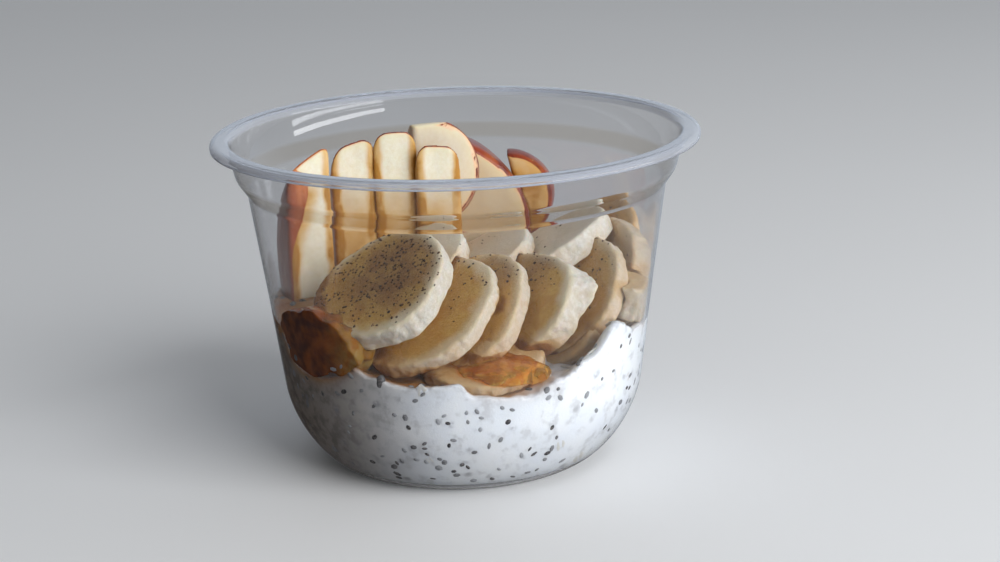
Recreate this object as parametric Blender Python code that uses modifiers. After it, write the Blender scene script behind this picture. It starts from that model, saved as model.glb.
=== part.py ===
"""Overnight oats in a clear plastic pot.

A thin round pot holds oats soaked in yogurt with chia seeds. Sliced banana lies on top in a fan,
each slice leaning on the next, and apple slices stand along the back left. Amber syrup has pooled
at the front and at the left. Lengths are in millimetres, turned into metres by MM.
The origin is the centre of the pot's base, +Z is up, and the front is towards -Y.
"""
import math
import random

import bmesh
import bpy
from mathutils import Matrix, Vector, noise

MM = 0.001
GAP = 0.3                      # clearance between pieces that touch

# Pot: outside of the clear sheet, as radius and height
POT_HEIGHT = 80.9
RIM_RADIUS = 59.0
SKIRT_DROP = 1.8
SHEET = 0.6
POT_SEGMENTS = 44
COLLAR_TOP = (54.6, 79.4)
COLLAR_BOTTOM = (53.4, 72.3)
STEP_BOTTOM = (50.7, 68.5)
WALL_MIDDLE = (47.4, 43.8)
WALL_BOTTOM = (44.4, 19.8)
CORNER_CONTROL = (42.1, 0.0)   # where the wall's line meets the floor
CORNER_WEIGHT = 0.54
FOOT_RADIUS = 30.0             # ring that the pot stands on
BASE_RADIUS = 27.0             # raised panel inside that ring
BASE_HEIGHT = 2.8

# Oat and yogurt mix
MIX_FLOOR = 3.5
MIX_FLOOR_RADIUS = 32.0
MIX_SEGMENTS = 44
MIX_RINGS = 6
# Height of the mix at the wall: degrees round the pot from +X, millimetres up
MIX_EDGE = [(-15, 35.0), (-27, 35.5), (-39, 39.5), (-49, 33.5), (-60, 30.0), (-70, 26.5),
            (-87, 28.0), (-92, 31.0), (-107, 30.0), (-118, 32.0), (-131, 36.0), (-146, 31.5),
            (-152, 37.5), (-175, 40.0), (-215, 41.0), (-260, 39.0), (-300, 40.0), (-335, 38.0)]
MIX_FRONT = 28.0               # level under the fruit near the front wall
MIX_BACK = 40.0                # level under the fruit from the middle to the back wall
MIX_RISE = (-36.0, -2.0)       # where the level starts and stops rising, front to back, at the left
MIX_RISE_RIGHT = (-20.0, 8.0)  # the same at the right, where the slices stand steeper
MIX_TURN = (4.0, 16.0)         # where the one goes over into the other, left to right
MIX_EDGE_BAND = 0.80           # share of the radius where the level starts to rise to the wall

# Banana slices: centre, tilt of the cut face from level, direction that the face leans to,
# radius down the slope and across it, thickness
BANANA = {
    "banana_1": dict(centre=(-18.0, -23.0, 47.6), tilt=36, heading=-138, radii=(16.6, 17.6), thick=6.0),
    "banana_2": dict(centre=(-8.2, -22.0, 40.6), tilt=33, heading=-139, radii=(18.0, 18.2), thick=4.2),
    "banana_3": dict(centre=(0.4, -18.7, 38.7), tilt=40, heading=-138, radii=(18.2, 17.2), thick=4.8),
    "banana_4": dict(centre=(15.6, -14.9, 39.3), tilt=50, heading=-144, radii=(14.2, 15.8), thick=7.0),
    "banana_5": dict(centre=(28.2, -9.6, 39.8), tilt=53, heading=-148, radii=(15.8, 13.6), thick=4.4),
    "banana_6": dict(centre=(24.6, -9.6, 35.4), tilt=52, heading=-149, radii=(15.6, 14.6), thick=4.4),
    "banana_7": dict(centre=(40.0, -13.4, 41.2), tilt=18, heading=-50, radii=(5.6, 5.4), thick=9.0),
    "banana_8": dict(centre=(35.6, 3.6, 39.8), tilt=66, heading=-160, radii=(16.6, 16.8), thick=5.6),
    "banana_9": dict(centre=(-13.0, -3.0, 46.4), tilt=28, heading=-150, radii=(16.4, 15.6), thick=5.2),
    "banana_10": dict(centre=(3.6, 5.0, 44.6), tilt=27, heading=-172, radii=(16.6, 15.6), thick=5.0),
    "banana_11": dict(centre=(22.8, 7.6, 47.6), tilt=30, heading=178, radii=(17.0, 16.0), thick=6.0),
    "banana_12": dict(centre=(36.0, 18.0, 45.0), tilt=48, heading=-150, radii=(13.6, 13.6), thick=5.0),
    "banana_13": dict(centre=(4.0, -28.4, 31.2), tilt=12, heading=-95, radii=(14.6, 15.0), thick=4.0),
}
BANANA_SEGMENTS = 20
BANANA_BEVEL = 0.9
TORN = "banana_4"              # its lower edge is torn and stands out in a lip
TORN_ANGLE = 2.3               # where the lip's tip is, in radians round the slice
TORN_REACH = 0.55              # how far the lip runs to each side of its tip, in radians
TORN_LIP = 0.24                # how far the tip stands out, as a share of the radius

# Apple slices: each is a slab cut from the cheek of a round apple
APPLE = {
    "apple_1": dict(top=(-36.0, 0.0, 74.8), ball=33, heading=28, lean=0, offset=-15.0, core=14.0, thick=11.4),
    "apple_2": dict(top=(-25.6, 11.0, 76.0), ball=33, heading=12, lean=0, offset=-7.0, core=17.0, thick=10.6),
    "apple_3": dict(top=(-15.2, 12.0, 78.2), ball=33, heading=8, lean=0, offset=-1.0, core=17.0, thick=10.4),
    "apple_4": dict(top=(-4.5, 11.0, 74.6), ball=33, heading=9, lean=0, offset=3.0, core=19.0, thick=10.6),
    "apple_5": dict(top=(-12.2, 19.9, 76.5), ball=19, heading=-68, lean=0, offset=-15, core=-3.5, thick=7.0),
    "apple_6": dict(top=(-3.2, 28.0, 74.0), ball=28, heading=-72, lean=0, offset=4.0, core=5.0, thick=9.0),
    "apple_7": dict(top=(13.2, 37.4, 67.2), ball=12, heading=-92, lean=12, offset=0.6, core=2.0, thick=6.6),
}

# Syrup pools: centre and radii of each rounded blob
SYRUP = {
    "syrup_front": dict(centre=(8.6, -34.6, 30.4), radii=(11.0, 8.6, 3.4)),
    "syrup_left": dict(centre=(-36.0, -29.5, 36.6), radii=(16.0, 13.0, 8.2)),
}


def clear_scene():
    for item in list(bpy.data.objects):
        bpy.data.objects.remove(item, do_unlink=True)


def new_collection(name):
    collection = bpy.data.collections.new(name)
    bpy.context.scene.collection.children.link(collection)
    return collection


def new_material(name, colour, roughness, metallic=0.0):
    material = bpy.data.materials.new(name)
    material.use_nodes = True
    shader = material.node_tree.nodes["Principled BSDF"]
    shader.inputs["Base Color"].default_value = (*colour, 1.0)
    shader.inputs["Roughness"].default_value = roughness
    shader.inputs["Metallic"].default_value = metallic
    return material


def link_mesh(name, mesh, collection, matrix=None):
    item = bpy.data.objects.new(name, mesh)
    if matrix is not None:
        item.matrix_world = matrix
    collection.objects.link(item)
    return item


def as_cutter(item):
    item.hide_render = True
    item.display_type = "WIRE"
    return item


def polyline(name, points, collection):
    """Open profile in the XZ plane, in millimetres."""
    mesh = bpy.data.meshes.new(name)
    vertices = [(radius * MM, 0.0, height * MM) for radius, height in points]
    edges = [(index, index + 1) for index in range(len(points) - 1)]
    mesh.from_pydata(vertices, edges, [])
    return link_mesh(name, mesh, collection)


def turned(item, segments):
    screw = item.modifiers.new("turned", "SCREW")
    screw.steps = segments
    screw.render_steps = segments
    screw.use_merge_vertices = True
    screw.merge_threshold = 0.00001
    return screw


def bake(item):
    """Replace an object's mesh by what its modifiers make of it."""
    bpy.context.view_layer.update()
    evaluated = item.evaluated_get(bpy.context.evaluated_depsgraph_get())
    mesh = bpy.data.meshes.new_from_object(evaluated)
    item.modifiers.clear()
    item.data = mesh
    return item


def combine(item, operand, operation):
    """Boolean with an object or a collection, applied."""
    boolean = item.modifiers.new("boolean", "BOOLEAN")
    boolean.operation = operation
    boolean.solver = "EXACT"
    if isinstance(operand, bpy.types.Collection):
        boolean.operand_type = "COLLECTION"
        boolean.collection = operand
    else:
        boolean.object = operand
    bake(item)


def keep_largest(item):
    """Drop the loose scraps that a cut leaves beside the main body."""
    shape = bmesh.new()
    shape.from_mesh(item.data)
    bmesh.ops.remove_doubles(shape, verts=shape.verts, dist=0.000001)
    bmesh.ops.dissolve_degenerate(shape, edges=shape.edges, dist=0.00002)
    unseen = set(shape.verts)
    islands = []
    while unseen:
        stack = [unseen.pop()]
        island = [stack[0]]
        while stack:
            vertex = stack.pop()
            for edge in vertex.link_edges:
                other = edge.other_vert(vertex)
                if other in unseen:
                    unseen.remove(other)
                    stack.append(other)
                    island.append(other)
        islands.append(island)
    islands.sort(key=len)
    for island in islands[:-1]:
        bmesh.ops.delete(shape, geom=island, context="VERTS")
    bmesh.ops.triangulate(shape, faces=shape.faces)
    shape.to_mesh(item.data)
    shape.free()


def corner_arc(steps, shrink=0.0):
    """The pot's lower corner: a rational curve from the wall down to the foot ring."""
    start, control, end = WALL_BOTTOM, CORNER_CONTROL, (FOOT_RADIUS, 0.0)
    points = []
    for step in range(steps + 1):
        t = step / steps
        weights = ((1 - t) ** 2, 2 * CORNER_WEIGHT * t * (1 - t), t * t)
        total = sum(weights)
        radius = sum(w * p[0] for w, p in zip(weights, (start, control, end))) / total
        height = sum(w * p[1] for w, p in zip(weights, (start, control, end))) / total
        points.append((radius - shrink, height))
    return points


def pot_sheet():
    """Middle of the sheet from the base's centre out and up to the skirt's lower edge."""
    half = SHEET / 2
    points = [(0.0, BASE_HEIGHT), (BASE_RADIUS - 1.5, BASE_HEIGHT), (BASE_RADIUS - 0.2, BASE_HEIGHT - 0.5),
              (BASE_RADIUS + 0.6, half + 0.5), (BASE_RADIUS + 1.2, half)]
    corner = corner_arc(6, shrink=half)
    corner.reverse()
    points += [(radius, max(height, half)) for radius, height in corner]
    points += [(WALL_MIDDLE[0] - half, WALL_MIDDLE[1]), (STEP_BOTTOM[0] - half, STEP_BOTTOM[1] - 0.6),
               (STEP_BOTTOM[0], STEP_BOTTOM[1]), (COLLAR_BOTTOM[0] - 0.7, COLLAR_BOTTOM[1] - 0.8),
               (COLLAR_BOTTOM[0] - half, COLLAR_BOTTOM[1]), (COLLAR_TOP[0] - half, COLLAR_TOP[1]),
               (COLLAR_TOP[0] + 0.3, POT_HEIGHT - half), (RIM_RADIUS - 1.2, POT_HEIGHT - half),
               (RIM_RADIUS - half, POT_HEIGHT - 1.0), (RIM_RADIUS - half, POT_HEIGHT - SKIRT_DROP)]
    return points


def inside_radius(height):
    """Radius of the pot's inner face at a height, less the clearance."""
    outline = corner_arc(12)
    outline.reverse()
    outline += [WALL_MIDDLE, STEP_BOTTOM, COLLAR_BOTTOM, COLLAR_TOP]
    for (low_radius, low), (high_radius, high) in zip(outline[:-1], outline[1:]):
        if low <= height <= high:
            share = (height - low) / (high - low)
            return low_radius + share * (high_radius - low_radius) - SHEET - GAP
    return outline[-1][0] - SHEET - GAP


def make_pot(collection, material):
    points = pot_sheet()
    points.reverse()
    pot = polyline("pot", points, collection)
    turned(pot, POT_SEGMENTS)
    shell = pot.modifiers.new("sheet", "SOLIDIFY")
    shell.thickness = SHEET * MM
    shell.offset = 0.0
    shell.use_even_offset = True
    bake(pot)
    pot.data.materials.append(material)
    pot.data.shade_smooth()
    return pot


def make_inside(collection):
    """Solid of the space that food may take: inside the pot, up past its rim."""
    heights = [MIX_FLOOR, 5.0, 7.0, 9.5, 12.5, 16.0, 19.8, 30.0, 43.8, 56.0, 68.5, 72.3, 79.4]
    points = [(0.0, MIX_FLOOR)]
    points += [(inside_radius(height), height) for height in heights]
    points[1] = (MIX_FLOOR_RADIUS, MIX_FLOOR)
    points += [(inside_radius(79.4), 95.0), (0.0, 95.0)]
    points.reverse()
    inside = polyline("inside", points, collection)
    turned(inside, POT_SEGMENTS)
    bake(inside)
    return as_cutter(inside)


def smooth_step(low, high, value):
    share = min(1.0, max(0.0, (value - low) / (high - low)))
    return share * share * (3 - 2 * share)


def edge_level(angle):
    """Height of the mix at the wall, by an even blend between the stated places."""
    degrees = math.degrees(angle)
    stated = sorted((place % 360, height) for place, height in MIX_EDGE)
    stated = [(stated[-1][0] - 360, stated[-1][1])] + stated + [(stated[0][0] + 360, stated[0][1])]
    degrees %= 360
    for (low, low_height), (high, high_height) in zip(stated[:-1], stated[1:]):
        if low <= degrees <= high:
            return low_height + smooth_step(low, high, degrees) * (high_height - low_height)
    return MIX_FRONT


def fruit_bed(x, y):
    """Level of the mix under the fruit, higher towards the back."""
    turn = smooth_step(MIX_TURN[0], MIX_TURN[1], x)
    start, stop = (low + turn * (high - low) for low, high in zip(MIX_RISE, MIX_RISE_RIGHT))
    share = smooth_step(start, stop, y)
    return MIX_FRONT + share * (MIX_BACK - MIX_FRONT) + 0.9 * noise.noise(Vector((x, y, 3.0)) * 0.16)


def make_mix(collection, material):
    """Turned body that fills the pot's lower half, its top raised to the uneven level."""
    heights = [MIX_FLOOR + 1.2, 7.0, 9.5, 12.5, 16.0, 19.8]
    points = [(0.0, MIX_FLOOR), (MIX_FLOOR_RADIUS * 0.6, MIX_FLOOR), (MIX_FLOOR_RADIUS, MIX_FLOOR)]
    points += [(inside_radius(height), height) for height in heights]
    start_level = 30.0
    rim_radius = inside_radius(start_level)
    for ring in range(MIX_RINGS + 1):
        points.append((rim_radius * (1 - ring / MIX_RINGS), start_level))
    points.reverse()
    mix = polyline("oats", points, collection)
    turned(mix, MIX_SEGMENTS)
    bake(mix)
    for vertex in mix.data.vertices:
        x, y, z = (value / MM for value in vertex.co)
        if z < start_level - 0.5:
            continue
        radius = math.hypot(x, y)
        share = radius / rim_radius
        blend = smooth_step(MIX_EDGE_BAND, 1.0, share)
        level = fruit_bed(x, y)
        level += blend * (edge_level(math.atan2(y, x)) - level)
        if share > 0.999:
            x *= inside_radius(level) / radius
            y *= inside_radius(level) / radius
        vertex.co = Vector((x, y, level)) * MM
    mix.data.materials.append(material)
    return mix


def slice_matrix(spec):
    """Local Z is the cut face's normal, local X runs down the slope."""
    tilt = math.radians(spec["tilt"])
    turned = Matrix.Rotation(math.radians(spec["heading"]), 4, "Z") @ Matrix.Rotation(tilt, 4, "Y")
    return Matrix.Translation(Vector(spec["centre"]) * MM) @ turned


def banana_mesh(name, spec, grow):
    """Oval disc with a wavy outline and rounded edges, in its own frame."""
    rng = random.Random(name)
    phases = [rng.uniform(0, math.tau) for _ in range(3)]
    shape = bmesh.new()
    bmesh.ops.create_cone(shape, cap_ends=True, segments=BANANA_SEGMENTS, radius1=1.0, radius2=1.0, depth=1.0)
    for vertex in shape.verts:
        angle = math.atan2(vertex.co.y, vertex.co.x)
        wave = 1 + 0.022 * math.cos(3 * angle + phases[0]) + 0.014 * math.cos(5 * angle + phases[1])
        from_tip = abs(angle - TORN_ANGLE) / TORN_REACH
        if name == TORN and vertex.co.z < 0 and from_tip < 1:
            wave += TORN_LIP * (1 - from_tip)
        vertex.co.x *= (spec["radii"][0] * wave + grow) * MM
        vertex.co.y *= (spec["radii"][1] * wave + grow) * MM
        vertex.co.z *= (spec["thick"] + 2 * grow) * MM
        vertex.co.z += 0.35 * math.cos(2 * angle + phases[2]) * MM
    level = 0.3 * spec["thick"] * MM
    rims = [edge for edge in shape.edges if abs(edge.verts[0].co.z - edge.verts[1].co.z) < level]
    steps = 1 if grow else 2
    bmesh.ops.bevel(shape, geom=rims, offset=BANANA_BEVEL * MM, segments=steps, profile=0.5, affect="EDGES",
                    clamp_overlap=True)
    caps = [face for face in shape.faces if len(face.verts) > 8]
    bmesh.ops.poke(shape, faces=caps)
    mesh = bpy.data.meshes.new(name)
    shape.to_mesh(mesh)
    shape.free()
    return mesh


def apple_matrix(spec):
    """Local X is across the slab, Y towards the skin and Z along the slice, from the apple's centre."""
    height = math.sqrt(spec["ball"] ** 2 - spec["core"] ** 2 - spec["offset"] ** 2)
    anchor = Matrix.Translation(Vector((-spec["offset"], -spec["core"], -height)) * MM)
    lean = Matrix.Rotation(math.radians(spec["lean"]), 4, "X")
    turned = Matrix.Rotation(math.radians(spec["heading"]), 4, "Z")
    return Matrix.Translation(Vector(spec["top"]) * MM) @ turned @ lean @ anchor


def apple_mesh(name, spec, grow, scratch):
    """Slab between two flat cuts, with the apple's round skin on one side, in the apple's own frame."""
    ball = bmesh.new()
    bmesh.ops.create_uvsphere(ball, u_segments=40, v_segments=24, radius=(spec["ball"] + grow) * MM)
    mesh = bpy.data.meshes.new(name)
    ball.to_mesh(mesh)
    ball.free()
    block = bmesh.new()
    bmesh.ops.create_cube(block, size=1.0)
    low = Vector((spec["offset"] - spec["thick"] / 2 - grow, spec["core"] - grow, -60.0))
    high = Vector((spec["offset"] + spec["thick"] / 2 + grow, 60.0, 60.0))
    for vertex in block.verts:
        share = vertex.co + Vector((0.5, 0.5, 0.5))
        vertex.co = Vector([low[i] + share[i] * (high[i] - low[i]) for i in range(3)]) * MM
    block_mesh = bpy.data.meshes.new("block")
    block.to_mesh(block_mesh)
    block.free()
    body = link_mesh("body", mesh, scratch)
    knife = link_mesh("knife", block_mesh, scratch)
    combine(body, knife, "INTERSECT")
    result = body.data
    bpy.data.objects.remove(body)
    bpy.data.objects.remove(knife)
    return result


def blob_mesh(name, spec, grow):
    ball = bmesh.new()
    bmesh.ops.create_icosphere(ball, subdivisions=2, radius=1.0)
    for vertex in ball.verts:
        wave = 1 + 0.10 * noise.noise(vertex.co * 1.7 + Vector(spec["centre"]))
        for axis in range(3):
            vertex.co[axis] *= (spec["radii"][axis] * wave + grow) * MM
    mesh = bpy.data.meshes.new(name)
    ball.to_mesh(mesh)
    ball.free()
    return mesh


def main():
    clear_scene()
    parts = new_collection("overnight_oats")
    cutters = new_collection("cutters")
    scratch = new_collection("scratch")
    plastic = new_material("clear_plastic", (0.72, 0.75, 0.78), 0.08)
    yogurt = new_material("oat_mix", (0.78, 0.78, 0.78), 0.45)
    banana = new_material("banana", (0.83, 0.72, 0.52), 0.5)
    apple = new_material("apple", (0.86, 0.76, 0.55), 0.45)
    syrup = new_material("syrup", (0.42, 0.19, 0.04), 0.15)

    make_pot(parts, plastic)
    inside = make_inside(scratch)
    placed = []
    for name, spec in {**BANANA, **APPLE}.items():
        is_banana = name in BANANA
        matrix = slice_matrix(spec) if is_banana else apple_matrix(spec)
        if is_banana:
            solid, grown = banana_mesh(name, spec, 0.0), banana_mesh(name, spec, GAP)
        else:
            solid, grown = apple_mesh(name, spec, 0.0, scratch), apple_mesh(name, spec, GAP, scratch)
        piece = link_mesh(name, solid, parts, matrix)
        combine(piece, inside, "INTERSECT")
        if placed:
            combine(piece, cutters, "DIFFERENCE")
        keep_largest(piece)
        piece.data.materials.clear()
        piece.data.materials.append(banana if is_banana else apple)
        as_cutter(link_mesh(name + "_room", grown, cutters, matrix))
        placed.append(piece)
    for name, spec in SYRUP.items():
        matrix = Matrix.Translation(Vector(spec["centre"]) * MM)
        pool = link_mesh(name, blob_mesh(name, spec, 0.0), parts, matrix)
        combine(pool, inside, "INTERSECT")
        combine(pool, cutters, "DIFFERENCE")
        keep_largest(pool)
        pool.data.materials.append(syrup)
        as_cutter(link_mesh(name + "_room", blob_mesh(name, spec, GAP), cutters, matrix))
    mix = make_mix(parts, yogurt)
    combine(mix, cutters, "DIFFERENCE")
    keep_largest(mix)
    for item in list(scratch.objects):
        bpy.data.objects.remove(item)


main()
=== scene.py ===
"""Overnight oats in a clear plastic pot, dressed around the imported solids.

Lengths are in millimetres inside the script and in metres on the objects. Each piece of food is a
field, negative inside, that is cut where it meets the pieces before it and then turned into a mesh.
The named places and sizes are those of the solids.
"""

import itertools
import math
import random

import bpy
import numpy as np
from mathutils import Matrix, Vector
from mathutils.bvhtree import BVHTree


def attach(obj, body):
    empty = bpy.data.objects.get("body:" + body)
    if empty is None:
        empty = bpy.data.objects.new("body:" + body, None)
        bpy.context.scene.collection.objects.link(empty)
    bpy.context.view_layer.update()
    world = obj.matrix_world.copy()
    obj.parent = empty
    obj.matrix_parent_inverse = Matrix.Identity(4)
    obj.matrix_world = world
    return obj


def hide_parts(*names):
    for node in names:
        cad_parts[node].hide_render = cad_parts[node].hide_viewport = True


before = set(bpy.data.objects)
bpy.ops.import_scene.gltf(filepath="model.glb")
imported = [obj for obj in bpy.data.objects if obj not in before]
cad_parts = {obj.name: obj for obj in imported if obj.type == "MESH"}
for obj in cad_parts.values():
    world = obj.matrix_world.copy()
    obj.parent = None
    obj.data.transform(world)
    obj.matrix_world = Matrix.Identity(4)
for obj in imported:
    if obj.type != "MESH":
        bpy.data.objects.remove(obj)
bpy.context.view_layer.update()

MM = 0.001

# Pot: the clear sheet, as in the solids. Places on its outline are a radius and a height
POT_HEIGHT = 80.9
RIM_RADIUS = 59.0
SKIRT_DROP = 1.8
SHEET = 0.6
POT_SEGMENTS = 180
COLLAR_TOP = (54.6, 79.4)
COLLAR_BOTTOM = (53.4, 72.3)
COLLAR_BOW = 0.17              # how far the collar's middle stands out from a straight line
COLLAR_STEPS = 8
STEP_BOTTOM = (50.7, 68.5)
WALL_MIDDLE = (47.4, 43.8)
WALL_BOTTOM = (44.4, 19.8)
CORNER_CONTROL = (42.1, 0.0)
CORNER_WEIGHT = 0.54
CORNER_STEPS = 22
FOOT_RADIUS = 30.0
BASE_RADIUS = 27.0
BASE_HEIGHT = 2.8
BASE_FILLET, WALL_FILLET = 0.8, 1.1
FILLET_STEPS = 5
STEP_BAND = (67.8, 69.0, 71.2, 72.6)   # heights where the step's warm tint starts, is full, fades, ends
LIP_BAND = (78.7, 79.2)        # heights where the lip's milky tint starts and is full

# Oat and yogurt mix. Its edge at the wall: the direction in degrees and the height there
MIX_FLOOR = 3.05
MIX_EDGE = [(-15, 35.0), (-27, 35.5), (-39, 39.5), (-49, 33.5), (-60, 30.0), (-70, 26.5),
            (-87, 28.0), (-92, 31.0), (-107, 30.0), (-118, 32.0), (-131, 36.0), (-146, 31.5),
            (-152, 37.5), (-175, 40.0), (-215, 41.0), (-260, 39.0), (-300, 40.0), (-335, 38.0)]
MIX_FRONT = 28.0               # height of its top at the front
MIX_BACK = 40.0
MIX_RISE = (-36.0, -2.0)       # where the top rises from front to back, along Y
MIX_RISE_RIGHT = (-20.0, 8.0)
MIX_TURN = (4.0, 16.0)         # where the rise changes from the left one to the right one, along X
MIX_EDGE_BAND = 0.80           # share of its reach from which the top bends to the edge's height
MIX_REACH = 45.4
MIX_HALF = 47.5                # half the width of the block that is sampled for it
MIX_BLOCK_TOP = 45.0
MIX_STEP = 0.6                 # spacing of the mix's mesh
MIX_GAP = 0.10                 # gap left round the fruit
MIX_BLEND = 0.5                # rounding where the mix meets what sinks into it
INTO_WALL = 0.15               # how far what touches the pot reaches into its sheet

# Banana slices: centre, tilt and heading of the cut face, radii down the slope and across, thickness
BANANA = {
    "banana_1": dict(centre=(-18.0, -23.0, 47.6), tilt=36, heading=-138, radii=(16.6, 17.6), thick=6.0),
    "banana_2": dict(centre=(-8.2, -22.0, 40.6), tilt=33, heading=-139, radii=(18.0, 18.2), thick=4.2),
    "banana_3": dict(centre=(0.4, -18.7, 38.7), tilt=40, heading=-138, radii=(18.2, 17.2), thick=4.8),
    "banana_4": dict(centre=(15.6, -14.9, 39.3), tilt=50, heading=-144, radii=(14.2, 15.8), thick=7.0),
    "banana_5": dict(centre=(28.2, -9.6, 39.8), tilt=53, heading=-148, radii=(15.8, 13.6), thick=4.4),
    "banana_6": dict(centre=(24.6, -9.6, 35.4), tilt=52, heading=-149, radii=(15.6, 14.6), thick=4.4),
    "banana_7": dict(centre=(40.0, -13.4, 41.2), tilt=18, heading=-50, radii=(5.6, 5.4), thick=9.0),
    "banana_8": dict(centre=(35.6, 3.6, 39.8), tilt=66, heading=-160, radii=(16.6, 16.8), thick=5.6),
    "banana_9": dict(centre=(-13.0, -3.0, 46.4), tilt=28, heading=-150, radii=(16.4, 15.6), thick=5.2),
    "banana_10": dict(centre=(3.6, 5.0, 44.6), tilt=27, heading=-172, radii=(16.6, 15.6), thick=5.0),
    "banana_11": dict(centre=(22.8, 7.6, 47.6), tilt=30, heading=178, radii=(17.0, 16.0), thick=6.0),
    "banana_12": dict(centre=(36.0, 18.0, 45.0), tilt=48, heading=-150, radii=(13.6, 13.6), thick=5.0),
    "banana_13": dict(centre=(4.0, -28.4, 31.2), tilt=12, heading=-95, radii=(14.6, 15.0), thick=4.0),
}
BANANA_STEP = 0.40
BANANA_EDGE = 0.8              # rounding of a slice's rim
RIM_FALL = 0.22                # how far a cut face falls at its rim
TORN = "banana_4"              # its lower edge is torn out into a ragged tip
TORN_ANGLE = 2.3
TORN_REACH = 0.55
TORN_LIP = 0.24
BROKEN = "banana_7"            # a chunk with its strings laid bare

# How a slice looks where it isn't plain. Stain: low down, all over, near other pieces (there partly syrup
# and partly painted shade in the crevices), and at a left end in syrup (where it starts and is full along
# X, and its strength). Pale: how white its face is, partly its own tone and partly painted light.
# Specks: how many grains of spice lie on it. Dust: how much of it is ground in, and the place and
# spread of its thick part as shares of the radius
PLAIN_BANANA = dict(low=0.35, even=0.0, crevice=1.0, left=(0.0, -1.0, 0.0), pale=0.0, specks=0,
                    dust=(0.1, (0.0, 0.0), 1.0))
BANANA_LOOK = {
    "banana_1": dict(left=(-26.0, -35.0, 1.0), specks=420, dust=(1.05, (-0.22, 0.06), 0.78)),
    "banana_2": dict(even=0.10, left=(-10.0, -20.0, 0.35), specks=30, dust=(0.15, (-0.5, 0.1), 0.5)),
    "banana_3": dict(even=0.15, left=(-1.0, -10.0, 0.4), specks=44, dust=(0.65, (-0.75, 0.1), 0.45)),
    "banana_4": dict(specks=46, dust=(0.65, (-0.8, -0.1), 0.5)),
    "banana_5": dict(low=0.25, even=0.25, crevice=0.35, specks=30, dust=(0.2, (-0.6, 0.0), 0.5)),
    "banana_6": dict(low=0.15, even=0.35, crevice=0.3, specks=8),
    "banana_7": dict(low=0.15, even=0.2, crevice=0.15, pale=0.4),
    "banana_8": dict(even=0.35, crevice=0.3, pale=0.4, specks=10),
    "banana_9": dict(low=0.1, crevice=0.5, pale=1.0, specks=16),
    "banana_10": dict(low=0.2, crevice=0.5, pale=1.0, specks=12),
    "banana_11": dict(crevice=0.3, pale=1.0, specks=10),
    "banana_12": dict(low=0.5, even=0.6, crevice=0.45, specks=14),
    "banana_13": dict(low=0.5, crevice=0.5, pale=0.6, specks=6),
}
BANANA_CREVICE = 2.8           # how far the stain and painted crevice shade reach from where another piece touches
BANANA_LOW = (46.0, 28.0)      # heights where the stain low down starts and is full

# Apple slices: slabs cut from the cheek of a round apple
APPLE = {
    "apple_1": dict(top=(-36.0, 0.0, 74.8), ball=33, heading=28, offset=-15.0, core=14.0, thick=11.4),
    "apple_2": dict(top=(-25.6, 11.0, 76.0), ball=33, heading=12, offset=-7.0, core=17.0, thick=10.6),
    "apple_3": dict(top=(-15.2, 12.0, 78.2), ball=33, heading=8, offset=-1.0, core=17.0, thick=10.4),
    "apple_4": dict(top=(-4.5, 11.0, 74.6), ball=33, heading=9, offset=3.0, core=19.0, thick=10.6),
    "apple_5": dict(top=(-12.2, 19.9, 76.5), ball=19, heading=-68, offset=-15.0, core=-3.5, thick=7.0),
    "apple_6": dict(top=(-3.2, 28.0, 74.0), ball=28, heading=-72, offset=4.0, core=5.0, thick=9.0),
    "apple_7": dict(top=(13.2, 37.4, 67.2), ball=12, heading=-92, offset=0.6, core=2.0, thick=6.6),
}
APPLE_CROWN = dict(apple_1=2.6, apple_2=3.6, apple_3=3.4, apple_4=3.4, apple_5=1.6, apple_6=0.8, apple_7=0.8)
APPLE_LEAN = dict(apple_7=12)  # the others stand upright
APPLE_STEP = 0.5
APPLE_EDGE = 0.35
APPLE_SIDE = 1.2               # rounding of a slice's long edges on the core side
APPLE_SWELL = 0.32             # how much thicker than its solid a wet slice is, each way
BARE = "apple_5"               # a slice whose skin faces away
CHEEK = "apple_1"              # an outer slice, with skin on its broad left side
CHEEK_END = -35.9              # where that skin ends at the pot's step, along X
CHEEK_SLANT = 0.30             # how far the end moves to the left for each millimetre up or down
CHEEK_FADE = 1.6               # how much faster it moves above the collar's lower end
SKIN = 0.42                    # thickness of the red skin

# Stain low down, partly syrup and partly painted shade; dull flesh; and the even stain of a slice that
# shows a broad side to the front, partly browning and partly painted shade; the slices without one are
# stained along the edges of their narrow side, partly browning and partly painted shade of the gaps
PLAIN_APPLE = dict(low=0.75, dull=0.0, broad=None)
APPLE_LOOK = {
    "apple_1": dict(low=0.1),
    "apple_5": dict(low=0.3, dull=0.5, broad=0.0),
    "apple_6": dict(low=0.2, dull=0.8, broad=0.06),
    "apple_7": dict(low=0.3, dull=0.3, broad=0.6),
}
# how far the stain and painted crevice shade reach from where another piece touches
APPLE_CREVICE = 2.0
# heights where the stain low down, partly painted shade, starts and is full
APPLE_LOW = (69.5, 54.0)

SYRUP = {
    "syrup_front": dict(centre=(8.6, -34.6, 30.4), radii=(11.0, 8.6, 3.4)),
    "syrup_left": dict(centre=(-36.0, -29.5, 36.6), radii=(16.0, 13.0, 8.2)),
}
SYRUP_STEP = 0.4
SYRUP_GAP = 0.03               # gap left between syrup and fruit
DEEP_AND_SHADED = {"syrup_front": (-2.0, -16.0), "syrup_left": (-8.0, -34.0)}   # where it turns dark, along X: thicker syrup, and painted shade on the left pool
TOUCH = 0.15                   # gap left between pieces of fruit that lean on each other
FRUIT_FROM_WALL = 0.25

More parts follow.
